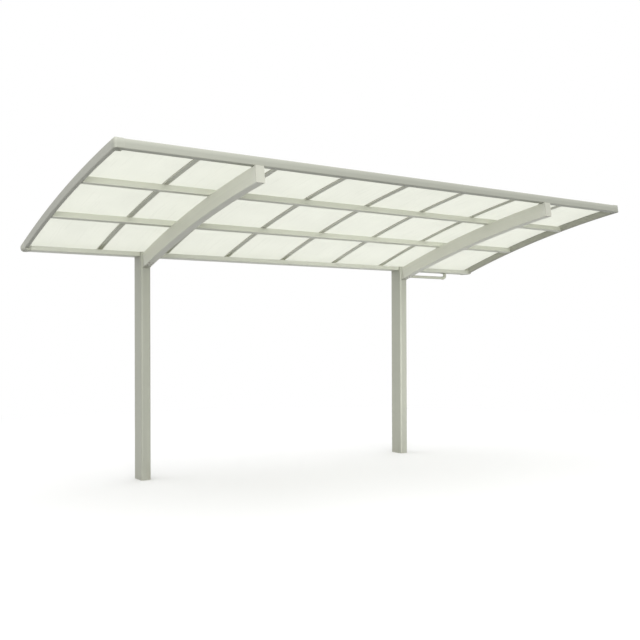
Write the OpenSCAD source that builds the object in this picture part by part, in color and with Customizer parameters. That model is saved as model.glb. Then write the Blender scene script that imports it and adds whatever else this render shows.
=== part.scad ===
// Cantilever carport: a curved roof of glazed bays on two posts that stand along its rear edge.
// X runs along the row of posts, +Y to the rear, +Z up. The origin is the middle of the left post's foot.

/* [Roof] */
// Length of the roof along the row of posts
roof_length = 5000; // [4100:10:6200]
// Depth of the roof in plan, from front edge to rear edge
roof_depth = 2100; // [1700:10:2600]
// Radius of the roof's curve, at the underside of the side frames
roof_radius = 11560; // [9000:10:14500]
// Height of the side frames' underside at the front edge
front_height = 2438; // [2350:1:2950]
// Height of the side frames' underside at the rear edge
rear_height = 1945; // [1800:1:2250]

/* [Posts] */
// Distance between the middles of the posts
post_spacing = 2940; // [2400:10:3600]
// Width of a post along the row
post_width = 90; // [80:1:110]
// Depth of a post from front to rear
post_depth = 160; // [140:1:195]
// Wall of a post
post_wall = 3.5; // [2.5:0.5:6]
// Radius of a post's corners
post_corner = 15; // [8:1:20]

/* [Beams] */
// Width of a beam
beam_width = 70; // [58:1:84]
// Depth of a beam
beam_depth = 122; // [100:1:150]
// Wall of a beam
beam_wall = 3; // [2:0.5:5]
// How far the beams reach past the front edge of the roof
beam_reach = 8; // [0:1:20]

/* [Purlins] */
// Distance from the front edge to the first purlin, and from there to the second
purlin_bay = 698; // [560:1:720]
// Width of a purlin
purlin_width = 37; // [32:1:60]
// Depth of a purlin
purlin_depth = 48; // [44:1:60]
// Wall of purlins, frames and gutter
frame_wall = 2.5; // [2:0.5:3.5]

/* [Frames] */
// Width of a side frame
side_width = 31; // [30:1:50]
// How far the side frames stand above the panels
side_rise = 10.4; // [9:0.2:20]
// Width of the front frame
front_width = 45; // [40:1:60]
// How far the front frame stands above the panels
front_rise = 7.4; // [6:0.2:14]
// Radius of the frames' edges
frame_edge = 8; // [4:1:9]

/* [Glazing] */
// Width of a rafter
rafter_width = 42; // [34:1:52]
// Depth of a rafter
rafter_depth = 8; // [7:1:12]
// Thickness of a roof panel
panel_thickness = 3; // [2:0.5:4]
// Width of the clamp bar over a panel joint
clamp_width = 34; // [28:1:42]
// Height of a clamp bar
clamp_height = 5; // [4:0.5:8]
// Depth of the groove in the frames that holds a panel's edge
groove_depth = 10; // [8:1:12]

/* [Gutter] */
// Width of the gutter from front to rear
gutter_width = 125; // [110:1:140]
// Height of the gutter's front wall
gutter_height = 40; // [34:1:48]
// Radius of the gutter's lower front edge
gutter_edge = 8; // [5:1:12]

/* [Drain] */
// Outer diameter of the drain pipes
pipe_diameter = 30; // [26:1:36]
// Wall of the drain pipes
pipe_wall = 2; // [1.5:0.5:3]
// Depth of the sockets that take the pipes' ends
socket_depth = 15; // [12:1:18]
// Distance from the right post's middle to the drain outlet
outlet_distance = 685; // [400:5:800]
// Width of the open strip over the gutter, behind the panels
gutter_opening = 10; // [6:1:40]

/* [Hidden] */

bays = 8;
fit = 0.3;                                // gap between pieces that slide together
past = 1;                                 // how far a cut reaches past a face
overrun = 30;                             // and past a piece's end, along the roof
metal = [0.80, 0.81, 0.76];
metal_light = [0.86, 0.87, 0.82];
milky = [0.95, 0.95, 0.90, 0.75];
plastic = [0.74, 0.75, 0.70];

// Ends of the roof
roof_left = (post_spacing - roof_length) / 2;
roof_right = roof_left + roof_length;
rear_inset = 5;                           // from the posts' rear faces to the roof's rear edge
rear_y = post_depth / 2 - rear_inset;
front_y = rear_y - roof_depth;

// Centre of the roof's curve, from its two ends and its radius
chord = norm([roof_depth, front_height - rear_height]);
chord_drop = (front_height - rear_height) / chord;
chord_run = roof_depth / chord;
centre_depth = sqrt(pow(roof_radius, 2) - pow(chord / 2, 2));
arc_y = (front_y + rear_y) / 2 - chord_drop * centre_depth;
arc_z = (front_height + rear_height) / 2 - chord_run * centre_depth;

// Layers of the roof, measured outward from the curve
deck = -13;                               // top of the beams
purlin_top = deck + purlin_depth;
rafter_foot = purlin_top + fit;
rafter_top = rafter_foot + rafter_depth;
panel_foot = rafter_top + fit;
panel_top = panel_foot + panel_thickness;
clamp_foot = panel_top + fit;
clamp_top = clamp_foot + clamp_height;
side_top = panel_top + side_rise;
front_frame_top = panel_top + front_rise;
groove_foot = panel_foot - fit;
groove_top = panel_top + fit;

front_angle = roof_angle(front_y);
rear_angle = roof_angle(rear_y);
gutter_front = rear_y - gutter_width;
gutter_rise = 12;
gutter_floor = rear_height + gutter_rise;
gutter_lip = gutter_floor + gutter_height;
gutter_rear_top = roof_height(rear_y - frame_wall, clamp_top);
gutter_hem = 8;                           // turned-in edge of the gutter's front wall
hem_drop = 6;
rafter_seat = 12;                         // ledge inside the gutter's rear wall

cap_length = 62;                          // front corner caps, along each frame
cap_round = 20;
rear_cap_round = 30;                      // lower outer edge of the rear corner caps
cap_skin = 2.5;                           // rear corner caps' sleeve round the gutter's end
sleeve_length = 20;
cap_front = gutter_front - fit - cap_skin;
cap_floor = gutter_floor - fit - cap_skin;
cap_angle = roof_angle(cap_front, deck);
post_plate = 3;                           // plate on top of a post's front lip
plug_depth = 6;

beam_edge = 4;
end_plate = 5;                            // beams' end caps
rim_depth = 12;
rim_wall = 3;
root_run = 12;                            // from a post's face to the beam's top edge
tongue_length = 90;                       // root's tongue inside the beam
tongue_wall = 5;
clip = [50, 40, 32];                      // angle clips on the beams
clip_wall = 4;

inner_left = roof_left + side_width;
inner_right = roof_right - side_width;
bay = (inner_right - inner_left) / bays;
panel_gap = 8;
panel_bite = groove_depth - 2;            // how far a panel reaches into a groove
seal_groove = [2, 4];                     // in rafters and clamp bars, depth and width
seal_edge = 4;
screw_slot = [5, 5];
clamp_sink = [1, 11];
clamp_shoulder = 1.5;
beam_end_angle = front_angle + roof_turn(beam_reach - end_plate);
beam_root_angle = roof_angle(-post_depth / 2 - root_run, deck);
rafter_front = front_angle - roof_turn(front_width + fit);
rafter_rear = roof_angle(rear_y - frame_wall - fit, rafter_top);
panel_front = front_angle - roof_turn(front_width - panel_bite);
panel_rear = roof_angle(rear_y - frame_wall - gutter_opening, panel_top);

outlet_x = post_spacing + outlet_distance;
drain_set = 70;                           // from the gutter's front to the outlet's middle
drain_y = gutter_front + drain_set;
outlet_mouth = pipe_diameter + 14;        // hole in the gutter's floor
outlet_flange = [pipe_diameter + 54, 4];
bend = pipe_diameter * 0.85;              // radius of an elbow's centre line
pipe_bore = pipe_diameter - 2 * pipe_wall;
socket_bore = pipe_diameter + 2 * fit;
socket_outer = socket_bore + 5;
outlet_depth = 12.5;                      // from the gutter's floor to the elbow's socket
pipe_z = gutter_floor - outlet_depth - socket_depth - bend;
clip_gap = 6;                             // from the post's side to the downpipe
clip_band = [3, 20];                      // bands round the downpipe, thickness and height
clip_foot = 24;
clip_ear = [9, 8];
clip_slot = 2;
clip_levels = [0.15, 0.5, 0.85];
down_x = post_spacing + post_width / 2 + pipe_diameter / 2 + clip_gap;
shoe_z = 90;                              // where the downpipe ends and its shoe begins

function roof_angle(y, layer = 0) = acos((y - arc_y) / (roof_radius + layer));
function roof_height(y, layer = 0) = arc_z + sqrt(pow(roof_radius + layer, 2) - pow(y - arc_y, 2));
function roof_turn(distance) = distance / roof_radius * 180 / PI;
function rafter_x(number) = inner_left + number * bay;
function arc_point(angle, layer) =
    [arc_y + (roof_radius + layer) * cos(angle), arc_z + (roof_radius + layer) * sin(angle)];

// A child drawn as [outward, along X] is carried along the roof's curve
module along_roof(from_angle, to_angle) {
    translate([0, arc_y, arc_z])
        rotate([90, 0, 90])
            rotate([0, 0, to_angle])
                rotate_extrude(angle = from_angle - to_angle, $fn = 720)
                    translate([roof_radius, 0])
                        children();
}

// A child is set on the curve, with its Y down the slope and its Z outward
module on_roof(angle) {
    translate([0, arc_y, arc_z])
        rotate([angle - 90, 0, 0])
            translate([0, 0, roof_radius])
                children();
}

// A section drawn in Y and Z, or in X and Z, is carried along X or to the front
module along_x(length) {
    rotate([90, 0, 90])
        linear_extrude(length)
            children();
}

module to_front(length) {
    rotate([90, 0, 0])
        linear_extrude(length)
            children();
}

module rounded(size, r) {
    translate([r, 0])
        square([size.x - 2 * r, size.y]);
    translate([0, r])
        square([size.x, size.y - 2 * r]);
    for (x = [r, size.x - r], y = [r, size.y - r])
        translate([x, y])
            circle(r, $fn = 48);
}

// A rectangle with only its corner at the origin rounded
module one_rounded(size, r) {
    translate([r, 0])
        square([size.x - r, size.y]);
    translate([0, r])
        square([size.x, size.y - r]);
    translate([r, r])
        circle(r, $fn = 48);
}

// A box section's hollow, whose own corners follow the outer ones
module hollow(size, r, wall) {
    inner = [size.x - 2 * wall, size.y - 2 * wall];
    translate([wall, wall])
        rounded(inner, max(min(r - wall, min(inner) / 2 - 0.5), 0.5));
}

module tube_section(size, r, wall) {
    difference() {
        rounded(size, r);
        hollow(size, r, wall);
    }
}

// A section drawn in X and Z is carried down the slope, from a place on the curve
module down_slope(length) {
    rotate([-90, 0, 0])
        mirror([0, 1, 0])
            linear_extrude(length)
                children();
}

// ---- posts ----
module post_section() {
    translate([-post_width / 2, -post_depth / 2])
        tube_section([post_width, post_depth], post_corner, post_wall);
    // web across the middle of the hollow
    translate([-post_width / 2 + post_wall / 2, -post_wall / 2])
        square([post_width - post_wall, post_wall]);
}

module post(x) {
    color(metal)
        translate([x, 0, 0])
            difference() {
                linear_extrude(gutter_lip - post_plate)
                    post_section();
                // seat for the gutter
                translate([-post_width, gutter_front - fit, gutter_floor - fit])
                    cube([2 * post_width, 2 * post_depth, 2 * gutter_height]);
            }
}

// Plate on the post's front lip, with a plug in the lip's hollow
module post_cap(x) {
    cap_depth = gutter_front - fit + post_depth / 2;
    color(metal)
        translate([x - post_width / 2, -post_depth / 2, gutter_lip - post_plate]) {
            linear_extrude(post_plate)
                intersection() {
                    rounded([post_width, post_depth], post_corner);
                    square([post_width, cap_depth]);
                }
            translate([0, 0, -plug_depth])
                linear_extrude(plug_depth)
                    intersection() {
                        hollow([post_width, post_depth], post_corner, post_wall + fit);
                        square([post_width, cap_depth]);
                    }
        }
}

// ---- beams ----
// Casting that carries the beam's line on to the post's upright face, with a tongue in the beam
module beam_root(x) {
    reach = beam_depth;
    color(metal_light) {
        difference() {
            on_roof(beam_root_angle)
                translate([x - beam_width / 2, 0, deck - beam_depth])
                    down_slope(reach)
                        rounded([beam_width, beam_depth], beam_edge);
            translate([x - beam_width, -post_depth / 2, 0])
                cube([2 * beam_width, 2 * reach, 2 * front_height]);
        }
        along_roof(beam_root_angle + roof_turn(tongue_length), beam_root_angle)
            translate([deck - beam_depth, x - beam_width / 2])
                difference() {
                    hollow([beam_depth, beam_width], beam_edge, beam_wall + fit);
                    hollow([beam_depth, beam_width], beam_edge, beam_wall + fit + tongue_wall);
                }
    }
}

module beam(x) {
    color(metal_light)
        along_roof(beam_end_angle, beam_root_angle + roof_turn(fit))
            translate([deck - beam_depth, x - beam_width / 2])
                tube_section([beam_depth, beam_width], beam_edge, beam_wall);
}

// Plate over the beam's front end, with a rim inside the beam
module beam_end_cap(x) {
    color(metal_light)
        on_roof(beam_end_angle)
            translate([x - beam_width / 2, -end_plate, deck - beam_depth]) {
                down_slope(end_plate)
                    rounded([beam_width, beam_depth], beam_edge);
                translate([0, end_plate, 0])
                    down_slope(rim_depth)
                        difference() {
                            hollow([beam_width, beam_depth], beam_edge, beam_wall + fit);
                            hollow([beam_width, beam_depth], beam_edge, beam_wall + fit + rim_wall);
                        }
            }
}

// Angle clips behind the front frame and behind each purlin, on top of a beam, each with a gusset
module beam_clips(x) {
    color(metal)
        for (behind = [front_width, purlin_bay + purlin_width / 2, 2 * purlin_bay + purlin_width / 2])
            on_roof(front_angle - roof_turn(behind))
                translate([x - clip.x / 2, fit, deck + fit]) {
                    cube([clip.x, clip.y, clip_wall]);
                    cube([clip.x, clip_wall, clip.z]);
                    translate([(clip.x - clip_wall) / 2, 0, 0])
                        along_x(clip_wall)
                            polygon([[0, 0], [clip.y - clip_wall, 0], [0, clip.z - clip_wall]]);
                }
}

// ---- purlins ----
module purlin(number) {
    color(metal_light)
        on_roof(front_angle - roof_turn(number * purlin_bay))
            translate([inner_left + fit, -purlin_width / 2, deck])
                along_x(inner_right - inner_left - 2 * fit)
                    tube_section([purlin_width, purlin_depth], beam_edge, frame_wall);
}

// ---- frames ----
// Section of the frames, across from the outer face and up from the deck: a chamber below,
// another above it beside the groove for the panels' edges, and a lip over the groove
module frame_section(width, height) {
    ledge = groove_foot - deck;
    lip = groove_top + frame_wall - deck;
    difference() {
        union() {
            rounded([width, ledge], frame_edge);
            translate([width / 2, frame_edge])
                square([width / 2, lip - frame_edge]);
            rounded([width - groove_depth, height], frame_edge);
        }
        hollow([width, ledge], frame_edge, frame_wall);
        translate([0, ledge - frame_wall])
            hollow([width - groove_depth, height - ledge + frame_wall], frame_edge, frame_wall);
        translate([width - groove_depth, ledge])
            square([groove_depth + past, groove_top - groove_foot]);
    }
}

module front_frame() {
    color(metal_light)
        on_roof(front_angle)
            translate([roof_left + cap_length, 0, deck])
                along_x(roof_length - 2 * cap_length)
                    frame_section(front_width, front_frame_top - deck);
}

module side_frame(end, inward) {
    color(metal)
        along_roof(front_angle - roof_turn(cap_length), cap_angle + roof_turn(fit))
            translate([deck, end])
                mirror([0, inward > 0 ? 0 : 1])
                    mirror([1, -1])
                        frame_section(side_width, side_top - deck);
}

// ---- corner caps ----
// Corner between a side frame and the front frame, with their rounded edges run round it
module front_corner_cap(end, inward) {
    size = cap_length - fit;
    height = side_top - deck;
    color(plastic)
        on_roof(front_angle)
            translate([end, 0, deck])
                mirror([inward > 0 ? 0 : 1, 0, 0])
                    intersection() {
                        translate([0, 0, -past])
                            linear_extrude(height + 2 * past)
                                one_rounded([size, size], cap_round);
                        translate([-past, 0, 0])
                            along_x(size + 2 * past)
                                rounded([2 * size, height], frame_edge);
                        translate([0, size + past, 0])
                            to_front(size + 2 * past)
                                rounded([2 * size, height], frame_edge);
                    }
}

// End piece that closes the gutter and carries the side frame's line on to the rear edge
module rear_corner_cap(end, inward) {
    front_edge = gutter_edge + fit + cap_skin;
    cap_depth = rear_y - cap_front;
    sweep_depth = side_top - deck + 2 * gutter_height;
    color(plastic)
        translate([end, 0, 0])
            mirror([inward > 0 ? 0 : 1, 0, 0]) {
                difference() {
                    intersection() {
                        // outline from the side
                        along_x(side_width)
                            intersection() {
                                polygon([
                                    [cap_front, cap_floor],
                                    [cap_front, roof_height(cap_front, deck)],
                                    arc_point(cap_angle, side_top + past),
                                    [rear_y, roof_height(rear_y, side_top + past)],
                                    [rear_y, cap_floor]
                                ]);
                                translate([cap_front, cap_floor])
                                    one_rounded([2 * cap_depth, 2 * cap_depth], front_edge);
                            }
                        // outline from the front, with its lower outer edge rounded
                        translate([0, rear_y + past, cap_floor])
                            to_front(cap_depth + 2 * past)
                                one_rounded([2 * side_width, 2 * cap_depth], rear_cap_round);
                        // top that follows the roof, with the frames' rounded edge
                        along_roof(cap_angle + roof_turn(overrun), rear_angle - roof_turn(overrun))
                            translate([side_top - sweep_depth, 0])
                                rounded([sweep_depth, 2 * side_width], frame_edge);
                    }
                    // groove for the panel's side edge, and the step above its lip
                    along_roof(cap_angle + roof_turn(overrun), panel_rear - roof_turn(fit))
                        translate([groove_foot, side_width - groove_depth])
                            square([groove_top - groove_foot, groove_depth + past]);
                    along_roof(cap_angle + roof_turn(overrun), rear_angle - roof_turn(overrun))
                        translate([groove_top + frame_wall, side_width - groove_depth])
                            square([sweep_depth, groove_depth + past]);
                }
                // sleeve round the gutter's end
                translate([side_width, 0, 0])
                    along_x(sleeve_length)
                        translate([cap_front, cap_floor])
                            difference() {
                                one_rounded([cap_depth, gutter_lip - cap_floor], front_edge);
                                translate([cap_skin, cap_skin])
                                    one_rounded([cap_depth, gutter_lip], gutter_edge + fit);
                            }
            }
}

// ---- rear gutter ----
module gutter_section() {
    seat_top = arc_point(rafter_rear, rafter_foot).y - fit;
    // floor and front wall
    translate([gutter_front, gutter_floor])
        difference() {
            one_rounded([gutter_width, gutter_height], gutter_edge);
            translate([frame_wall, frame_wall])
                one_rounded([gutter_width, gutter_height], gutter_edge - frame_wall);
        }
    // turned-in edge of the front wall
    translate([gutter_front, gutter_lip - frame_wall])
        square([gutter_hem, frame_wall]);
    translate([gutter_front + gutter_hem - frame_wall, gutter_lip - hem_drop])
        square([frame_wall, hem_drop]);
    // rear wall, with a ledge under the rafters' ends
    translate([rear_y - frame_wall, gutter_floor])
        square([frame_wall, gutter_rear_top - gutter_floor]);
    translate([rear_y - frame_wall - rafter_seat, seat_top - frame_wall])
        square([rafter_seat + frame_wall, frame_wall]);
}

module rear_gutter() {
    color(metal_light)
        difference() {
            translate([inner_left + fit, 0, 0])
                along_x(inner_right - inner_left - 2 * fit)
                    gutter_section();
            translate([outlet_x, drain_y, gutter_floor - past])
                cylinder(h = frame_wall + 2 * past, d = outlet_mouth, $fn = 48);
        }
}

// ---- glazing ----
// Flat bar with two grooves for the seals and a slot for the screws, all open to the panels
module rafter_section() {
    difference() {
        rounded([rafter_depth, rafter_width], 1);
        for (across = [seal_edge, rafter_width - seal_edge - seal_groove.y])
            translate([rafter_depth - seal_groove.x, across])
                square([seal_groove.x + past, seal_groove.y]);
        translate([rafter_depth - screw_slot.x, (rafter_width - screw_slot.y) / 2])
            square([screw_slot.x + past, screw_slot.y]);
    }
}

module rafter(number) {
    color(metal_light)
        along_roof(rafter_front, rafter_rear)
            translate([rafter_foot, rafter_x(number) - rafter_width / 2])
                rafter_section();
}

module panel(number) {
    first = number == 1 ? inner_left - panel_bite : rafter_x(number - 1) + panel_gap / 2;
    last = number == bays ? inner_right + panel_bite : rafter_x(number) - panel_gap / 2;
    color(milky)
        difference() {
            along_roof(panel_front, panel_rear)
                translate([panel_foot, first])
                    square([panel_thickness, last - first]);
            // the end panels are notched round the corner caps
            for (end = [roof_left, roof_right - cap_length])
                on_roof(front_angle)
                    translate([end - fit, -fit, deck])
                        cube([cap_length + 2 * fit, cap_length + 2 * fit, 2 * side_top]);
        }
}

// Cover bar with rounded shoulders, a sunk middle for the screws and two grooves for the seals
module clamp_section() {
    difference() {
        union() {
            square([clamp_height / 2, clamp_width]);
            rounded([clamp_height, clamp_width], clamp_shoulder);
        }
        translate([clamp_height - clamp_sink.x, (clamp_width - clamp_sink.y) / 2])
            square([clamp_sink.x + past, clamp_sink.y]);
        for (across = [seal_edge, clamp_width - seal_edge - seal_groove.y])
            translate([-past, across])
                square([seal_groove.x + past, seal_groove.y]);
    }
}

module clamp_bars() {
    color(metal_light)
        for (number = [1 : bays - 1])
            along_roof(rafter_front, panel_rear)
                translate([clamp_foot, rafter_x(number) - clamp_width / 2])
                    clamp_section();
}

// ---- drain ----
module ring(outer, inner, height) {
    difference() {
        cylinder(h = height, d = outer, $fn = 48);
        translate([0, 0, -past])
            cylinder(h = height + 2 * past, d = inner, $fn = 48);
    }
}

// Quarter bend in the XZ plane round the origin, from [bend, 0] upright to [0, bend] level,
// with a socket for a pipe at each end
module elbow() {
    rotate([90, 0, 0])
        rotate_extrude(angle = 90, $fn = 64)
            translate([bend, 0])
                difference() {
                    circle(d = socket_outer, $fn = 48);
                    circle(d = pipe_bore, $fn = 48);
                }
    translate([bend, 0, -socket_depth])
        ring(socket_outer, socket_bore, socket_depth);
    translate([-socket_depth, 0, bend])
        rotate([0, 90, 0])
            ring(socket_outer, socket_bore, socket_depth);
}

// Funnel under the gutter's floor that narrows to a pipe's size
module drain_outlet() {
    cone = outlet_depth - fit;
    foot = outlet_depth + socket_depth - fit;
    color(plastic)
        translate([outlet_x, drain_y, gutter_floor])
            rotate_extrude($fn = 64)
                polygon([
                    [outlet_mouth / 2, 0],
                    [outlet_flange.x / 2, 0],
                    [outlet_flange.x / 2, -outlet_flange.y],
                    [outlet_mouth / 2 + pipe_wall, -outlet_flange.y],
                    [pipe_diameter / 2, -cone],
                    [pipe_diameter / 2, -foot],
                    [pipe_bore / 2, -foot],
                    [pipe_bore / 2, -cone],
                    [outlet_mouth / 2, -outlet_flange.y]
                ]);
}

module drain_elbow() {
    color(plastic)
        translate([outlet_x - bend, drain_y, pipe_z + bend])
            mirror([0, 0, 1])
                elbow();
}

module drain_pipe() {
    first = down_x + bend + fit;
    color(plastic)
        translate([first, drain_y, pipe_z])
            rotate([0, 90, 0])
                ring(pipe_diameter, pipe_bore, outlet_x - bend - fit - first);
}

module post_elbow() {
    color(plastic)
        translate([down_x + bend, drain_y, pipe_z - bend])
            mirror([1, 0, 0])
                elbow();
}

module downpipe() {
    foot = shoe_z + fit;
    color(plastic)
        translate([down_x, drain_y, foot])
            ring(pipe_diameter, pipe_bore, pipe_z - bend - fit - foot);
}

module downpipe_shoe() {
    color(plastic)
        translate([down_x + bend, drain_y, shoe_z])
            mirror([1, 0, 0])
                mirror([0, 0, 1])
                    elbow();
}

// Split bands round the downpipe, each on a foot against the post's side
module pipe_clips() {
    band = pipe_diameter + 2 * clip_band.x;
    color(metal)
        for (level = clip_levels)
            translate([down_x, drain_y, shoe_z + level * (pipe_z - bend - shoe_z)])
                difference() {
                    union() {
                        cylinder(h = clip_band.y, d = band, $fn = 48);
                        translate([-pipe_diameter / 2 - clip_gap, -clip_foot / 2, 0])
                            cube([clip_band.x, clip_foot, clip_band.y]);
                        translate([-pipe_diameter / 2 - clip_gap, -clip_ear.y / 2, 0])
                            cube([pipe_diameter / 2 + clip_gap, clip_ear.y, clip_band.y]);
                        // ears for the closing screw
                        translate([0, -clip_ear.y / 2, 0])
                            cube([pipe_diameter / 2 + clip_ear.x, clip_ear.y, clip_band.y]);
                    }
                    translate([0, 0, -past])
                        cylinder(h = clip_band.y + 2 * past, d = socket_bore, $fn = 48);
                    translate([0, -clip_slot / 2, -past])
                        cube([band, clip_slot, clip_band.y + 2 * past]);
                }
}

post(0);  // left_post
post(post_spacing);  // right_post
post_cap(0);  // left_post_cap
post_cap(post_spacing);  // right_post_cap
beam_root(0);  // left_beam_root
beam_root(post_spacing);  // right_beam_root
beam(0);  // left_beam
beam(post_spacing);  // right_beam
beam_end_cap(0);  // left_beam_end_cap
beam_end_cap(post_spacing);  // right_beam_end_cap
beam_clips(0);  // left_beam_clips
beam_clips(post_spacing);  // right_beam_clips
purlin(1);  // upper_purlin
purlin(2);  // lower_purlin
front_frame();
rear_gutter();
side_frame(roof_left, 1);  // left_side_frame
side_frame(roof_right, -1);  // right_side_frame
front_corner_cap(roof_left, 1);  // front_left_corner_cap
front_corner_cap(roof_right, -1);  // front_right_corner_cap
rear_corner_cap(roof_left, 1);  // rear_left_corner_cap
rear_corner_cap(roof_right, -1);  // rear_right_corner_cap
rafter(1);  // rafter_1
rafter(2);  // rafter_2
rafter(3);  // rafter_3
rafter(4);  // rafter_4
rafter(5);  // rafter_5
rafter(6);  // rafter_6
rafter(7);  // rafter_7
panel(1);  // panel_1
panel(2);  // panel_2
panel(3);  // panel_3
panel(4);  // panel_4
panel(5);  // panel_5
panel(6);  // panel_6
panel(7);  // panel_7
panel(8);  // panel_8
clamp_bars();
drain_outlet();
drain_elbow();
drain_pipe();
post_elbow();
downpipe();
downpipe_shoe();
pipe_clips();
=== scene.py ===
"""Looks of the cantilever carport: materials, small fixings, seals, studio and camera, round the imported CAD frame."""
import math

import bmesh
import bpy
from mathutils import Matrix, Vector


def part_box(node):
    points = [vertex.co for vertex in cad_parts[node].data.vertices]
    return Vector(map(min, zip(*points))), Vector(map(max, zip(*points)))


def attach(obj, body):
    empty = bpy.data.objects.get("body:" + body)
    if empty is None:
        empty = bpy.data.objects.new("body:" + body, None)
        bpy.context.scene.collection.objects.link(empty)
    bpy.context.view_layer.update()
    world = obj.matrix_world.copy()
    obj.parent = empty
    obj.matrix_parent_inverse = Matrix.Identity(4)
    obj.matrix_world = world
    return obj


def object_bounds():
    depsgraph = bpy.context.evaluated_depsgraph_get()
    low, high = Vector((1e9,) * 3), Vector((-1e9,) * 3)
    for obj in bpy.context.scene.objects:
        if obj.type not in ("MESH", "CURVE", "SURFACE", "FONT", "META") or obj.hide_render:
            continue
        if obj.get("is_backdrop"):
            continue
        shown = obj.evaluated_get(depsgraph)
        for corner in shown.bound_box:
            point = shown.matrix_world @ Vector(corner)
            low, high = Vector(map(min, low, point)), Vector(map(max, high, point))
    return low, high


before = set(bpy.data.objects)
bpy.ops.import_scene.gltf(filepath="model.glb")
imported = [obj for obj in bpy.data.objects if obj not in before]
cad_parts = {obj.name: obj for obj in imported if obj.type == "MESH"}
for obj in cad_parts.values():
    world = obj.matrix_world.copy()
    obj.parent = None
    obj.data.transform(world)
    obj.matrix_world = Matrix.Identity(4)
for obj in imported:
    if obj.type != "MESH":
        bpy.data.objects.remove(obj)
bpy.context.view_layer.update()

# The roof's curve, as in the part's source: its radius and its two ends as (y, z)
ROOF_RADIUS = 11.56
CURVE_FRONT = (-2.025, 2.438)
CURVE_REAR = (0.075, 1.945)
# Layers outward from the curve
DECK = -0.013  # where the purlins and frames bear on the beams
RAFTER_FOOT = 0.0353
PANEL_FOOT = 0.0436
PANEL_TOP = 0.0466
CLAMP_TOP = 0.0519
# Distances down the curve from the roof's front edge
FRONT_WIDTH = 0.045
FRONT_CAP = 0.062
PURLIN_BAY = 0.698
PURLIN_HALF = 0.0185
# Sizes of the metal that fixings sit on
FIT = 0.0003  # clearance between pieces
BEAM_DEPTH = 0.122
CLIP_WALL = 0.004
CLAMP_SINK = 0.001  # depth of the channel along a clamp bar's top

# Small parts
UPPER_LIP = (0.0020, 0.0018)  # width and height of the seals' lips
LOWER_LIP = (0.0018, 0.0020)
LIP_CLEAR = 0.0002  # between a lower lip and the panel over it
SUNK = 0.0002  # depth of a screw's or bolt's head in the metal under it
CLAMP_SCREWS = 7  # in each clamp bar

# Shades that dust, splashes, specks and edge wear bring, with a painted highlight on the edges and on the roof frame's
# upper edge, in levels of 0 to 255
DUST = (176, 172, 158)
PANEL_DUST = (214, 212, 198)
SPLASH = (150, 142, 124)
SPECK = (150, 148, 136)
# edges: rubbed wear, and a painted highlight along them
RUBBED_AND_HIGHLIGHT = (222, 223, 214)
# painted highlight on the roof frame's upper edge
TOP_HIGHLIGHT_TONE = (228, 230, 218)

RAFTERS = ["rafter_%d" % number for number in range(1, 8)]
PANELS = ["panel_%d" % number for number in range(1, 9)]


# ---- places ----
def curve_centre():
    (y0, z0), (y1, z1) = CURVE_FRONT, CURVE_REAR
    chord = math.hypot(y1 - y0, z1 - z0)
    deep = math.sqrt(ROOF_RADIUS ** 2 - chord ** 2 / 4)
    return (y0 + y1) / 2 - (z0 - z1) / chord * deep, (z0 + z1) / 2 - (y1 - y0) / chord * deep


CENTRE_Y, CENTRE_Z = curve_centre()


def roof_angle(y, layer=0.0):
    """Angle round the curve's centre of the point at y in a layer."""
    return math.acos((y - CENTRE_Y) / (ROOF_RADIUS + layer))


def on_roof(x, y, layer):
    """A frame on the roof: its Y runs down the slope to the rear and its Z outward."""
    turn = Matrix.Rotation(roof_angle(y, layer) - math.pi / 2, 4, "X")
    return Matrix.Translation((x, CENTRE_Y, CENTRE_Z)) @ turn @ Matrix.Translation((0, 0, ROOF_RADIUS + layer))


def down_roof(x, run, layer):
    """The same, at a distance down the curve from the roof's front edge."""
    turn = Matrix.Rotation(roof_angle(CURVE_FRONT[0]) - run / ROOF_RADIUS - math.pi / 2, 4, "X")
    return Matrix.Translation((x, CENTRE_Y, CENTRE_Z)) @ turn @ Matrix.Translation((0, 0, ROOF_RADIUS + layer))


# Turns that carry a screw's upward axis elsewhere
UNDER = Matrix.Rotation(math.pi, 4, "X")
TO_REAR = Matrix.Rotation(-math.pi / 2, 4, "X")
TO_FRONT = Matrix.Rotation(math.pi / 2, 4, "X")
TO_RIGHT = Matrix.Rotation(math.pi / 2, 4, "Y")


def at(x, y, z, turn):
    return Matrix.Translation((x, y, z)) @ turn


def middle(node):
    low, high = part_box(node)
    return (low + high) / 2


def spread(first, last, count):
    return [first + (last - first) * i / (count - 1) for i in range(count)]


def facing(direction, place):
    """A frame at place whose Z points along direction."""
    return Matrix.Translation(place) @ Vector(direction).to_track_quat("Z", "Y").to_matrix().to_4x4()


def put(name, data, matrix):
    """A lamp or camera in the scene."""
    thing = bpy.data.objects.new(name, data)
    thing.matrix_world = matrix
    bpy.context.scene.collection.objects.link(thing)
    return thing


# ---- meshes ----
class Shape:
    """Faces gathered from several copies of a form, made into one piece."""

    def __init__(self):
        self.points = []
        self.faces = []

    def add(self, form, matrix=Matrix.Identity(4)):
        points, faces = form
        start = len(self.points)
        self.points += [matrix @ Vector(p) for p in points]
        self.faces += [[start + i for i in face] for face in faces]

    def piece(self, name, material, slot, smooth=35):
        mesh = bpy.data.meshes.new(name)
        mesh.from_pydata(self.points, [], self.faces)
        mesh.materials.append(material)
        facets = bmesh.new()
        facets.from_mesh(mesh)
        bmesh.ops.recalc_face_normals(facets, faces=facets.faces)
        facets.to_mesh(mesh)
        facets.free()
        mesh.validate()
        mesh.shade_smooth()
        mesh.set_sharp_from_angle(angle=math.radians(smooth))
        thing = bpy.data.objects.new(name, mesh)
        bpy.context.scene.collection.objects.link(thing)
        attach(thing, "root")
        return thing


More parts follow.
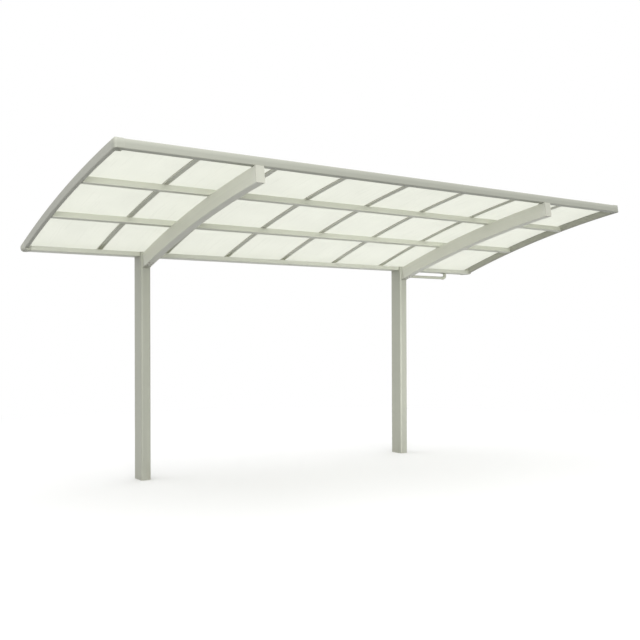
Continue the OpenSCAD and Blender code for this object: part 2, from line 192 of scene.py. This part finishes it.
def rings(levels, segments=32):
    """A closed form of stacked rings. A level is (radius, height), and either may be a function of the angle."""
    points, faces = [], []
    for radius, height in levels:
        for i in range(segments):
            a = 2 * math.pi * i / segments
            r = radius(a) if callable(radius) else radius
            z = height(a) if callable(height) else height
            points.append((r * math.cos(a), r * math.sin(a), z))
    for level in range(len(levels) - 1):
        for i in range(segments):
            j = (i + 1) % segments
            low, high = level * segments, (level + 1) * segments
            faces.append((low + i, low + j, high + j, high + i))
    faces.append([(len(levels) - 1) * segments + i for i in range(segments)])
    faces.append(list(reversed(range(segments))))
    return points, faces


def cross(arm, half_width):
    """Radius of a cross-shaped recess at an angle."""
    def radius(a):
        off = (a + math.pi / 4) % (math.pi / 2) - math.pi / 4
        return min(arm / math.cos(off), half_width / max(abs(math.sin(off)), 1e-6))
    return radius


def pan_screw(radius=0.0055, height=0.0024):
    """A pan head with a cross recess."""
    return rings([
        (radius, -SUNK),
        (radius, height * 0.25),
        (radius * 0.90, height * 0.62),
        (radius * 0.70, height * 0.90),
        (cross(radius * 0.42, radius * 0.11), height),
        (cross(radius * 0.24, radius * 0.07), height * 0.35),
    ])


def hexagon(flats):
    """Radius of a hexagon at an angle."""
    def radius(a):
        off = a % (math.pi / 3) - math.pi / 6
        return flats / 2 / math.cos(off)
    return radius


def hex_bolt(flats, height, washer, washer_height):
    """A chamfered hexagon head on a round washer."""
    corner = hexagon(flats)
    top = washer_height + height
    flat = flats * 0.475

    def chamfer(a):
        return top - (corner(a) - flat) * math.tan(math.radians(30))
    edge = washer_height * 0.25
    return rings([
        (washer / 2, -SUNK),
        (washer / 2, washer_height - edge),
        (washer / 2 - edge, washer_height),
        (corner, washer_height),
        (corner, chamfer),
        (flat, top),
    ], 36)


def turned(section, segments=64):
    """A closed section of (radius, height) points, turned round Z."""
    points, faces = [], []
    n = len(section)
    for i in range(segments):
        a = 2 * math.pi * i / segments
        points += [(r * math.cos(a), r * math.sin(a), z) for r, z in section]
    for i in range(segments):
        j = (i + 1) % segments
        for k in range(n):
            m = (k + 1) % n
            faces.append((i * n + k, j * n + k, j * n + m, i * n + m))
    return points, faces


def cross_strip(section, run, first, last):
    """A closed section of (down the slope, outward) points, carried along X."""
    matrix = down_roof(0, run, 0)
    points = [matrix @ Vector((x, down, out)) for x in (first, last) for down, out in section]
    n = len(section)
    faces = [(i, (i + 1) % n, n + (i + 1) % n, n + i) for i in range(n)]
    return points, faces + [list(reversed(range(n))), [n + i for i in range(n)]]


def roof_strip(section, x, first, last, steps=48):
    """A closed section of (across, outward) points, carried along the roof's curve at x."""
    points, faces = [], []
    for y in spread(first, last, steps):
        matrix = on_roof(x, y, 0)
        points += [matrix @ Vector((across, 0, out)) for across, out in section]
    n = len(section)
    for step in range(steps - 1):
        for i in range(n):
            j = (i + 1) % n
            low, high = step * n, (step + 1) * n
            faces.append((low + i, high + i, high + j, low + j))
    faces.append(list(range(n)))
    faces.append([(steps - 1) * n + i for i in reversed(range(n))])
    return points, faces


def lip(size, side, out):
    """Half-round section of a seal's lip, from out upward, on one side of a wall at across 0."""
    width, height = size
    return [(side * width * math.sin(a), out + height * (1 - math.cos(a)) / 2) for a in spread(0, math.pi, 9)]


# ---- materials ----
def linear(*rgb):
    """A colour written in levels of 0 to 255, as shaders take it."""
    return tuple((c / 255 / 12.92 if c <= 10 else ((c / 255 + 0.055) / 1.055) ** 2.4) for c in rgb) + (1.0,)


class Tree:
    """Adds shader nodes: lower-case arguments set the node, and capitalised ones its inputs (I3 is input 3)."""

    def __init__(self, owner):
        owner.use_nodes = True
        self.tree = owner.node_tree
        self.tree.nodes.clear()

    def add(self, kind, **given):
        made = self.tree.nodes.new("ShaderNode" + kind)
        for key, value in given.items():
            if key[0].islower():
                setattr(made, key, value)
                continue
            by_number = key[0] == "I" and key[1:].isdigit()
            socket = made.inputs[int(key[1:]) if by_number else key.replace("_", " ")]
            if isinstance(value, bpy.types.NodeSocket):
                self.tree.links.new(value, socket)
            else:
                socket.default_value = value
        return made

    def math(self, operation, a, b=0.0, clamp=False):
        return self.add("Math", operation=operation, use_clamp=clamp, I0=a, I1=b).outputs[0]

    def noise(self, vector, scale, detail=2.0, roughness=0.5):
        return self.add("TexNoise", Vector=vector, Scale=scale, Detail=detail, Roughness=roughness).outputs[0]

    def stretch(self, value, low, high, to_low=0.0, to_high=1.0):
        """value between low and high, carried to between to_low and to_high."""
        return self.add("MapRange", Value=value, From_Min=low, From_Max=high,
                        To_Min=to_low, To_Max=to_high).outputs[0]

    def mix(self, share, a, b, blend="MIX"):
        return self.add("Mix", data_type="RGBA", blend_type=blend, I0=share, I6=a, I7=b).outputs[2]

    def place(self):
        return self.add("TexCoord").outputs["Object"]

    def along(self, grain):
        """Coordinates whose last axis follows the profile: "x", "z", or "arc" along the roof's curve."""
        x, y, z = self.add("SeparateXYZ", I0=self.place()).outputs
        if grain == "x":
            return self.add("CombineXYZ", X=y, Y=z, Z=x).outputs[0]
        if grain == "z":
            return self.add("CombineXYZ", X=x, Y=y, Z=z).outputs[0]
        dy = self.math("SUBTRACT", y, CENTRE_Y)
        dz = self.math("SUBTRACT", z, CENTRE_Z)
        radius = self.math("SQRT", self.math("ADD", self.math("MULTIPLY", dy, dy), self.math("MULTIPLY", dz, dz)))
        arc = self.math("MULTIPLY", self.math("ARCTAN2", dz, dy), ROOF_RADIUS)
        return self.add("CombineXYZ", X=x, Y=radius, Z=arc).outputs[0]

    def squeezed(self, vector, across, along):
        return self.add("Mapping", vector_type="POINT", Vector=vector, Scale=(across, across, along)).outputs[0]

    def facing_up(self):
        normal = self.add("NewGeometry").outputs["Normal"]
        return self.add("SeparateXYZ", I0=normal).outputs[2]

    def edges(self, width):
        """1 on edges and 0 on flat faces, broken up in patches, for edge wear and a painted edge highlight."""
        round_normal = self.add("Bevel", samples=4, Radius=width).outputs[0]
        flat_normal = self.add("NewGeometry").outputs["Normal"]
        same = self.add("VectorMath", operation="DOT_PRODUCT", I0=round_normal, I1=flat_normal).outputs["Value"]
        patchy = self.stretch(self.noise(self.place(), 55.0, 3.0), 0.3, 0.6, 0.35, 1.0)
        return self.math("MULTIPLY", self.stretch(same, 0.995, 0.90), patchy)

    def painted_top_highlight(self, tone):
        """tone, paler towards the roof frame's upper edge: a painted highlight where that edge catches the light from
        above.
        """
        layer = self.math("SUBTRACT", self.add("SeparateXYZ", I0=self.along("arc")).outputs[1], ROOF_RADIUS)
        return self.mix(self.stretch(layer, 0.018, 0.048, 0.0, 0.30), tone, linear(*TOP_HIGHLIGHT_TONE))

    def seen(self):
        """1 for rays that show a thing, and 0 for rays that only carry its light to other things."""
        path = self.add("LightPath")
        return self.math("MAXIMUM", path.outputs["Is Camera Ray"],
                         self.math("MAXIMUM", path.outputs["Is Glossy Ray"], path.outputs["Is Transmission Ray"]))

    def vary(self, tone, by, amount):
        """tone, darker and lighter by up to amount as by goes from 0.3 to 0.7."""
        return self.mix(1.0, tone, self.stretch(by, 0.3, 0.7, 1 - amount, 1 + amount), "MULTIPLY")

    def show(self, shader):
        self.add("OutputMaterial", Surface=shader)


def coated_metal(name, colour, grain, splash=False, painted_top_highlight=False):
    """Extruded aluminium under a satin coat: die lines along the profile, uneven gloss, a little dust on top."""
    material = bpy.data.materials.new(name)
    t = Tree(material)
    place = t.place()
    profile = t.along(grain)
    lines = t.noise(t.squeezed(profile, 160.0, 1.2), 1.0, 3.0, 0.6)
    broad = t.noise(t.squeezed(profile, 6.0, 0.7), 1.0, 2.0)
    cloud = t.noise(place, 2.3, 3.0)
    specks = t.noise(place, 420.0, 1.0)
    tone = t.vary(t.vary(t.vary(colour, lines, 0.025), broad, 0.02), cloud, 0.015)
    tone = t.mix(t.stretch(specks, 0.70, 0.78, 0.0, 0.25), tone, linear(*SPECK))
    dust = t.math("MULTIPLY", t.stretch(t.facing_up(), 0.5, 0.95), t.stretch(cloud, 0.35, 0.65, 0.05, 0.30))
    tone = t.mix(dust, tone, linear(*DUST))
    # painted highlight: paler towards the upper edge, where light from above falls
    if painted_top_highlight:
        tone = t.painted_top_highlight(tone)
    edge = t.edges(0.004)
    # edges lighter: rubbed wear, and a painted highlight
    tone = t.mix(t.math("MULTIPLY", edge, 0.45), tone, linear(*RUBBED_AND_HIGHLIGHT))
    if splash:
        height = t.add("SeparateXYZ", I0=place).outputs[2]
        streaks = t.noise(t.squeezed(place, 30.0, 6.0), 1.0, 4.0, 0.65)
        foot = t.math("MULTIPLY", t.stretch(height, 0.22, 0.0), t.stretch(streaks, 0.4, 0.7))
        tone = t.mix(t.math("MULTIPLY", foot, 0.35), tone, linear(*SPLASH))
    bump = t.add("Bump", Strength=0.25, Distance=0.0002, Height=t.math("ADD", lines, t.math("MULTIPLY", specks, 0.4)))
    rough = t.stretch(t.math("ADD", lines, cloud), 0.6, 1.4, 0.38, 0.52)
    rough = t.math("SUBTRACT", rough, t.math("MULTIPLY", edge, 0.10))
    shader = t.add("BsdfPrincipled", Base_Color=tone, Metallic=0.15, Coat_Weight=0.15, Coat_Roughness=0.35,
                   Roughness=rough, Normal=bump.outputs[0])
    t.show(shader.outputs[0])
    return material


def cast_metal(name, colour):
    """Cast and painted aluminium: fine orange peel, no direction."""
    material = bpy.data.materials.new(name)
    t = Tree(material)
    place = t.place()
    peel = t.noise(place, 650.0, 2.0)
    cloud = t.noise(place, 9.0, 3.0)
    tone = t.vary(colour, cloud, 0.03)
    tone = t.mix(t.stretch(t.noise(place, 300.0, 1.0), 0.72, 0.8, 0.0, 0.3), tone, linear(*SPECK))
    # edges lighter: rubbed wear, and a painted highlight
    tone = t.mix(t.math("MULTIPLY", t.edges(0.0025), 0.4), tone, linear(*RUBBED_AND_HIGHLIGHT))
    bump = t.add("Bump", Strength=0.3, Distance=0.0003, Height=peel)
    shader = t.add("BsdfPrincipled", Base_Color=tone, Metallic=0.1, Coat_Weight=0.1, Coat_Roughness=0.4,
                   Roughness=t.stretch(cloud, 0.3, 0.7, 0.42, 0.56), Normal=bump.outputs[0])
    t.show(shader.outputs[0])
    return material


def moulded(name, colour, rough=0.5, grain_size=900.0, painted_top_highlight=False):
    """Moulded plastic: a fine spark-eroded grain with faint flow marks."""
    material = bpy.data.materials.new(name)
    t = Tree(material)
    place = t.place()
    grain = t.add("TexVoronoi", Vector=place, Scale=grain_size).outputs[0]
    flow = t.noise(place, 14.0, 2.0, 0.4)
    tone = t.vary(colour, flow, 0.025)
    # painted highlight: paler towards the upper edge, where light from above falls
    if painted_top_highlight:
        tone = t.painted_top_highlight(tone)
    bump = t.add("Bump", Strength=0.2, Distance=0.0002, Height=grain)
    shader = t.add("BsdfPrincipled", Base_Color=tone, Specular_IOR_Level=0.45,
                   Roughness=t.stretch(flow, 0.3, 0.7, rough - 0.06, rough + 0.06), Normal=bump.outputs[0])
    t.show(shader.outputs[0])
    return material


def milky_sheet(name, colour):
    """Milky polycarbonate: lets light through, scatters it, and has a soft gloss; rain dust on its upper side."""
    material = bpy.data.materials.new(name)
    t = Tree(material)
    place = t.place()
    profile = t.along("arc")
    draw = t.noise(t.squeezed(profile, 22.0, 0.8), 1.0, 2.0)
    cloud = t.noise(place, 3.1, 3.0)
    tone = t.vary(t.vary(colour, draw, 0.004), cloud, 0.015)
    runs = t.noise(t.squeezed(profile, 40.0, 2.0), 1.0, 4.0, 0.7)
    dust = t.math("MULTIPLY", t.stretch(t.facing_up(), 0.5, 0.95), t.stretch(runs, 0.42, 0.75, 0.02, 0.08))
    upper = t.mix(dust, tone, linear(*PANEL_DUST))
    wave = t.add("Bump", Strength=0.08, Distance=0.001, Height=draw)
    face = t.add("BsdfPrincipled", Base_Color=upper, Roughness=t.stretch(runs, 0.3, 0.7, 0.24, 0.36),
                 Specular_IOR_Level=0.4, Normal=wave.outputs[0])
    through = t.add("BsdfTranslucent", Color=tone)
    clear = t.add("BsdfTransparent", Color=colour)
    body = t.add("MixShader", I0=0.80, I1=face.outputs[0], I2=through.outputs[0])
    t.show(t.add("MixShader", I0=0.18, I1=body.outputs[0], I2=clear.outputs[0]).outputs[0])
    return material


def steel(name):
    """Stainless fixings: turned rings of gloss and a dull tarnish."""
    material = bpy.data.materials.new(name)
    t = Tree(material)
    place = t.place()
    scratch = t.noise(place, 900.0, 2.0)
    cloud = t.noise(place, 60.0, 2.0)
    tone = t.mix(t.stretch(cloud, 0.35, 0.65), linear(196, 196, 192), linear(170, 168, 160))
    bump = t.add("Bump", Strength=0.2, Distance=0.0001, Height=scratch)
    shader = t.add("BsdfPrincipled", Base_Color=tone, Metallic=1.0,
                   Roughness=t.stretch(scratch, 0.3, 0.7, 0.26, 0.42), Normal=bump.outputs[0])
    t.show(shader.outputs[0])
    return material


def rubber(name, colour):
    """Matt sealing rubber with a faint bloom."""
    material = bpy.data.materials.new(name)
    t = Tree(material)
    place = t.place()
    bloom = t.noise(place, 35.0, 3.0)
    tone = t.vary(colour, bloom, 0.08)
    bump = t.add("Bump", Strength=0.2, Distance=0.0002, Height=t.noise(place, 700.0, 1.0))
    shader = t.add("BsdfPrincipled", Base_Color=tone, Specular_IOR_Level=0.3,
                   Roughness=t.stretch(bloom, 0.3, 0.7, 0.62, 0.78), Normal=bump.outputs[0])
    t.show(shader.outputs[0])
    return material


# The coated aluminium members share one coating; their tones here differ as painted light and shade: posts, front frame
# and side frames darker, beams, purlins, gutter and rafters lighter. The front corner caps take the front frame's
# painted shade.
LOOKS = {
    "upright": coated_metal("coated_upright", linear(176, 178, 165), "z", splash=True),
    "purlin": coated_metal("coated_purlin", linear(214, 216, 203), "x"),
    "gutter": coated_metal("coated_gutter", linear(210, 212, 199), "x"),
    "front": coated_metal("coated_front_frame", linear(167, 169, 157), "x", painted_top_highlight=True),
    "beam": coated_metal("coated_beam", linear(217, 218, 207), "arc"),
    "side": coated_metal("coated_side_frame", linear(169, 170, 159), "arc"),
    "rafter": coated_metal("coated_rafter", linear(208, 209, 196), "arc"),
    "cast": cast_metal("cast_coated", linear(190, 192, 178)),
    "beam_cast": cast_metal("cast_beam_ends", linear(195, 196, 183)),
    "milky": milky_sheet("milky_polycarbonate", linear(252, 253, 247)),
    "front_cap": moulded("moulded_front_caps", linear(167, 169, 157), painted_top_highlight=True),
    "rear_cap": moulded("moulded_rear_caps", linear(192, 193, 180)),
    "drain": moulded("moulded_drain", linear(206, 208, 193), rough=0.40, grain_size=1400.0),
    "steel": steel("stainless"),
    "coated_screw": cast_metal("coated_screws", linear(186, 188, 175)),
    "seal": rubber("grey_seal", linear(150, 151, 141)),
    "sealant": rubber("grey_sealant", linear(176, 178, 166)),
}
NODE_LOOKS = {
    "upright": ["left_post", "right_post"],
    "purlin": ["upper_purlin", "lower_purlin"],
    "gutter": ["rear_gutter"],
    "front": ["front_frame"],
    "beam": ["left_beam", "right_beam"],
    "side": ["left_side_frame", "right_side_frame"],
    "rafter": ["clamp_bars"] + RAFTERS,
    "cast": ["left_post_cap", "right_post_cap", "left_beam_clips", "right_beam_clips", "pipe_clips"],
    "beam_cast": ["left_beam_root", "right_beam_root", "left_beam_end_cap", "right_beam_end_cap"],
    "milky": PANELS,
    "front_cap": ["front_left_corner_cap", "front_right_corner_cap"],
    "rear_cap": ["rear_left_corner_cap", "rear_right_corner_cap"],
    "drain": ["drain_outlet", "drain_elbow", "drain_pipe", "post_elbow", "downpipe", "downpipe_shoe"],
}
for look, names in NODE_LOOKS.items():
    for name in names:
        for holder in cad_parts[name].material_slots:
            holder.material = LOOKS[look]


# ---- seals ----
def seals():
    """The glazing seals' lips: beside every clamp bar on top, beside every rafter below, and along the frames."""
    upper, lower = Shape(), Shape()
    clamp_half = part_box("clamp_bars")[1].x - middle("rafter_7").x
    front_gap, rear_gap = 0.002, 0.001
    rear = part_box("panel_4")[1].y - rear_gap
    above = PANEL_TOP
    below = PANEL_FOOT - LOWER_LIP[1] - LIP_CLEAR
    for name in RAFTERS:
        low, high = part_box(name)
        x, half, front = (low.x + high.x) / 2, (high.x - low.x) / 2, low.y + front_gap
        for side in (-1, 1):
            upper.add(roof_strip(lip(UPPER_LIP, side, above), x + side * clamp_half, front, rear))
            lower.add(roof_strip(lip(LOWER_LIP, side, below), x + side * half, front, rear))
    # along the side frames and the front frame
    behind_cap = down_roof(0, FRONT_CAP, PANEL_TOP).translation.y
    for node, inner, side in (("left_side_frame", 1, 1), ("right_side_frame", 0, -1)):
        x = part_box(node)[inner].x
        upper.add(roof_strip(lip(UPPER_LIP, side, above), x, behind_cap, rear))
        lower.add(roof_strip(lip(LOWER_LIP, side, below), x, behind_cap, rear))
    # between the clamp bars, behind the front frame
    upper_gap, lower_gap = 0.003, 0.006
    frame_low, frame_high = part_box("front_frame")
    bars = [middle(name).x for name in RAFTERS]
    firsts = [frame_low.x] + [x + clamp_half for x in bars]
    lasts = [x - clamp_half for x in bars] + [frame_high.x]
    for first, last in zip(firsts, lasts):
        upper.add(cross_strip(lip(UPPER_LIP, 1, above), FRONT_WIDTH, first + upper_gap, last - upper_gap))
        lower.add(cross_strip(lip(LOWER_LIP, 1, below), FRONT_WIDTH, first + lower_gap, last - lower_gap))
    upper.piece("upper_glazing_seals", LOOKS["seal"], "fittings")
    lower.piece("lower_glazing_seals", LOOKS["seal"], "fittings")


def sealant():
    """Bead round the drain outlet's flange, under the gutter."""
    low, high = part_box("drain_outlet")
    rim = (high.x - low.x) / 2
    section = [(-0.0005, 0), (0.0032, 0), (0.0026, -0.0012), (0.0012, -0.0024), (-0.0005, -0.0032)]
    into_gutter = 0.0001
    shape = Shape()
    shape.add(turned([(rim + out, down) for out, down in section]),
              Matrix.Translation(((low.x + high.x) / 2, (low.y + high.y) / 2, high.z - into_gutter)))
    shape.piece("outlet_sealant", LOOKS["sealant"], "fittings")


# ---- fixings ----
def clamp_screws():
    """Down each clamp bar's channel, into the rafter under it."""
    low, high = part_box("clamp_bars")
    front_gap, rear_gap = 0.07, 0.05
    shape = Shape()
    for name in RAFTERS:
        for y in spread(low.y + front_gap, high.y - rear_gap, CLAMP_SCREWS):
            shape.add(pan_screw(0.0048), on_roof(middle(name).x, y, CLAMP_TOP - CLAMP_SINK))
    shape.piece("clamp_bar_screws", LOOKS["steel"], "fittings", smooth=40)


def gutter_screws():
    """Through the gutter's rear wall into each rafter's end."""
    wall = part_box("rear_gutter")[1].y
    height = on_roof(0, wall, (PANEL_FOOT + RAFTER_FOOT) / 2).translation.z
    shape = Shape()
    for name in RAFTERS:
        shape.add(pan_screw(0.0042), at(middle(name).x, wall, height, TO_REAR))
    shape.piece("gutter_screws", LOOKS["steel"], "fittings", smooth=40)


def beam_bolts():
    """M8 bolts: two on each leg of the angle clips, and four through each beam's underside into the root's tongue."""
    bolt = hex_bolt(flats=0.013, height=0.0053, washer=0.016, washer_height=0.0016)
    clip_runs = (FRONT_WIDTH, PURLIN_BAY + PURLIN_HALF, 2 * PURLIN_BAY + PURLIN_HALF)
    along_foot, up_leg = 0.024, 0.020
    clip_across, root_across = 0.014, 0.018
    root_rows = (-0.158, -0.196)
    shape = Shape()
    for beam in ("left_beam", "right_beam"):
        beam_x = middle(beam).x
        for run in clip_runs:
            for x in (beam_x - clip_across, beam_x + clip_across):
                shape.add(bolt, down_roof(x, run + along_foot, DECK + FIT + CLIP_WALL))
                shape.add(bolt, down_roof(x, run + FIT + CLIP_WALL, DECK + FIT + up_leg) @ TO_REAR)
        for x in (beam_x - root_across, beam_x + root_across):
            for y in root_rows:
                shape.add(bolt, on_roof(x, y, DECK - BEAM_DEPTH) @ UNDER)
    shape.piece("beam_bolts", LOOKS["steel"], "fittings", smooth=30)


def cap_screws():
    """Coated screws that hold the beams' end caps and the roof's corner caps."""
    shape = Shape()
    flat, small, large = pan_screw(0.0038, 0.0018), pan_screw(0.0038, 0.0020), pan_screw(0.0040, 0.0020)
    beam_across, beam_run = 0.020, 0.003
    front_places = ((0.048, 0.0225), (0.0155, 0.048))  # in from the roof's side, and down from its front edge
    rear_in, rear_up, rear_rows = 0.010, 0.022, (-0.020, 0.050)
    for beam in ("left_beam", "right_beam"):
        for x in (middle(beam).x - beam_across, middle(beam).x + beam_across):
            shape.add(flat, down_roof(x, beam_run, DECK - BEAM_DEPTH) @ UNDER)
    for side, front, rear in ((1, "front_left_corner_cap", "rear_left_corner_cap"),
                              (-1, "front_right_corner_cap", "rear_right_corner_cap")):
        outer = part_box(front)[0 if side > 0 else 1].x
        for across, run in front_places:
            shape.add(large, down_roof(outer + side * across, run, DECK) @ UNDER)
        low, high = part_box(rear)
        x = (high.x if side > 0 else low.x) - side * rear_in
        shape.add(small, at(x, low.y, low.z + rear_up, TO_FRONT))
        for y in rear_rows:
            shape.add(small, at(x, y, low.z, UNDER))
    shape.piece("cap_screws", LOOKS["coated_screw"], "fittings", smooth=40)


def drain_screws():
    """In the outlet's flange, and in the feet and ears of the pipe clips."""
    shape = Shape()
    outlet, flange, screw_circle = middle("drain_outlet"), 0.004, 0.033
    for i in range(4):
        a = math.pi / 4 + i * math.pi / 2
        shape.add(pan_screw(0.0036, 0.0020),
                  at(outlet.x + screw_circle * math.cos(a), outlet.y + screw_circle * math.sin(a),
                     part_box("drain_outlet")[1].z - flange, UNDER))
    low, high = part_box("pipe_clips")
    pipe = middle("downpipe")
    foot, ear, ear_half = low.x + 0.003, pipe.x + 0.0212, 0.004
    foot_across, end_gap = 0.008, 0.010
    nut = hex_bolt(flats=0.0044, height=0.0022, washer=0.0054, washer_height=0.0004)
    for z in spread(low.z + end_gap, high.z - end_gap, 3):
        for y in (pipe.y - foot_across, pipe.y + foot_across):
            shape.add(pan_screw(0.0032, 0.0018), at(foot, y, z, TO_RIGHT))
        shape.add(pan_screw(0.0027, 0.0018), at(ear, pipe.y - ear_half, z, TO_FRONT))
        shape.add(nut, at(ear, pipe.y + ear_half, z, TO_REAR))
    shape.piece("drain_screws", LOOKS["steel"], "fittings", smooth=40)


seals()
sealant()
clamp_screws()
gutter_screws()
beam_bolts()
cap_screws()
drain_screws()


# ---- studio ----
FLOOR_BOUNCE = (0.18, 0.18, 0.17, 1)
FLOOR_SEEN = (0.82, 0.82, 0.82, 1)
SKY_LOW, SKY_HIGH = 0.67, 1.48
KEY_POWER = 0.76
KEY_FROM = (-0.22, -1.0, 0.1)
SOFTBOXES = (  # name, place, aim, power, spread in degrees
    ("near", (-1.5, -3.4, -0.2), (2.0, 0.0, 0.0), 84.0, 180),
    ("far", (2.6, -1.6, -1.8), (3.97, 2.05, -1.7), 13.5, 60),
)


def lay_floor(centre):
    """A pale floor that keeps the shadow, fades to white far off, and gives back less light than it shows."""
    reach = 60.0
    fade_from, fade_to = 2.6, 7.5
    mesh = bpy.data.meshes.new("floor")
    mesh.from_pydata([(centre.x - reach, centre.y - reach, 0), (centre.x + reach, centre.y - reach, 0),
                      (centre.x + reach, centre.y + reach, 0), (centre.x - reach, centre.y + reach, 0)],
                     [], [(0, 1, 2, 3)])
    floor = bpy.data.objects.new("floor", mesh)
    bpy.context.scene.collection.objects.link(floor)
    look = bpy.data.materials.new("pale_floor")
    t = Tree(look)
    x, y, _ = t.add("SeparateXYZ", I0=t.place()).outputs
    away = t.math("SQRT", t.math("ADD", t.math("POWER", t.math("SUBTRACT", x, centre.x), 2.0),
                                 t.math("POWER", t.math("SUBTRACT", y, centre.y), 2.0)))
    seen = t.seen()
    fade = t.math("MULTIPLY", seen, t.add("MapRange", interpolation_type="SMOOTHSTEP", Value=away,
                                          From_Min=fade_from, From_Max=fade_to).outputs[0])
    pale = t.mix(seen, FLOOR_BOUNCE, FLOOR_SEEN)
    plain = t.add("BsdfDiffuse", Color=pale)
    bright = t.add("Emission", Color=(1, 1, 1, 1), Strength=1.0)
    t.show(t.add("MixShader", I0=fade, I1=plain.outputs[0], I2=bright.outputs[0]).outputs[0])
    mesh.materials.append(look)
    floor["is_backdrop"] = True


def sky():
    """Even light, brighter from above, that looks plain white."""
    world = bpy.data.worlds.new("studio")
    bpy.context.scene.world = world
    t = Tree(world)
    up = t.add("SeparateXYZ", I0=t.add("TexCoord").outputs["Generated"]).outputs[2]
    strength = t.stretch(up, 0.0, 0.9, SKY_LOW, SKY_HIGH)
    light = t.add("Background", Color=(1, 1, 1, 1), Strength=strength)
    white = t.add("Background", Color=(1, 1, 1, 1), Strength=1.0)
    both = t.add("MixShader", I0=t.seen(), I1=light.outputs[0], I2=white.outputs[0])
    t.add("OutputWorld", Surface=both.outputs[0])


def lamps(low, high, centre):
    """A wide low sun from the front, and two softboxes placed from the roof's front left top corner."""
    key = bpy.data.lights.new("key", "SUN")
    key.energy = KEY_POWER
    key.angle = math.radians(50)
    put("key", key, facing(KEY_FROM, centre))
    corner = Vector((low.x, low.y, high.z))
    for name, place, aim, power, spread_angle in SOFTBOXES:
        light = bpy.data.lights.new(name, "AREA")
        light.shape = "RECTANGLE"
        light.size, light.size_y = 3.0, 2.0
        light.energy = power
        light.spread = math.radians(spread_angle)
        place = corner + Vector(place)
        put(name, light, facing(place - (corner + Vector(aim)), place)).visible_camera = False


def camera():
    """The photograph's view: a solved pinhole camera, level to a quarter of a degree."""
    yaw, pitch, roll = (math.radians(a) for a in (34.6159, 0.2575, -0.1638))
    ahead = Vector((math.sin(yaw) * math.cos(pitch), math.cos(yaw) * math.cos(pitch), math.sin(pitch)))
    level = Vector((math.cos(yaw), -math.sin(yaw), 0))
    upward = level.cross(ahead)
    right = level * math.cos(roll) + upward * math.sin(roll)
    top = upward * math.cos(roll) - level * math.sin(roll)
    data = bpy.data.cameras.new("camera")
    data.sensor_width = 36.0
    data.lens = 47.59
    data.shift_y = 0.01896
    turn = Matrix((right, top, -ahead)).transposed().to_4x4()
    eye = Matrix.Translation((-2.95084, -7.03187, 1.25646))
    bpy.context.scene.camera = put("camera", data, eye @ turn)


def studio():
    low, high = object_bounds()
    centre = (low + high) / 2
    lay_floor(centre)
    sky()
    lamps(low, high, centre)


studio()
camera()
bpy.context.scene.view_settings.view_transform = "Standard"
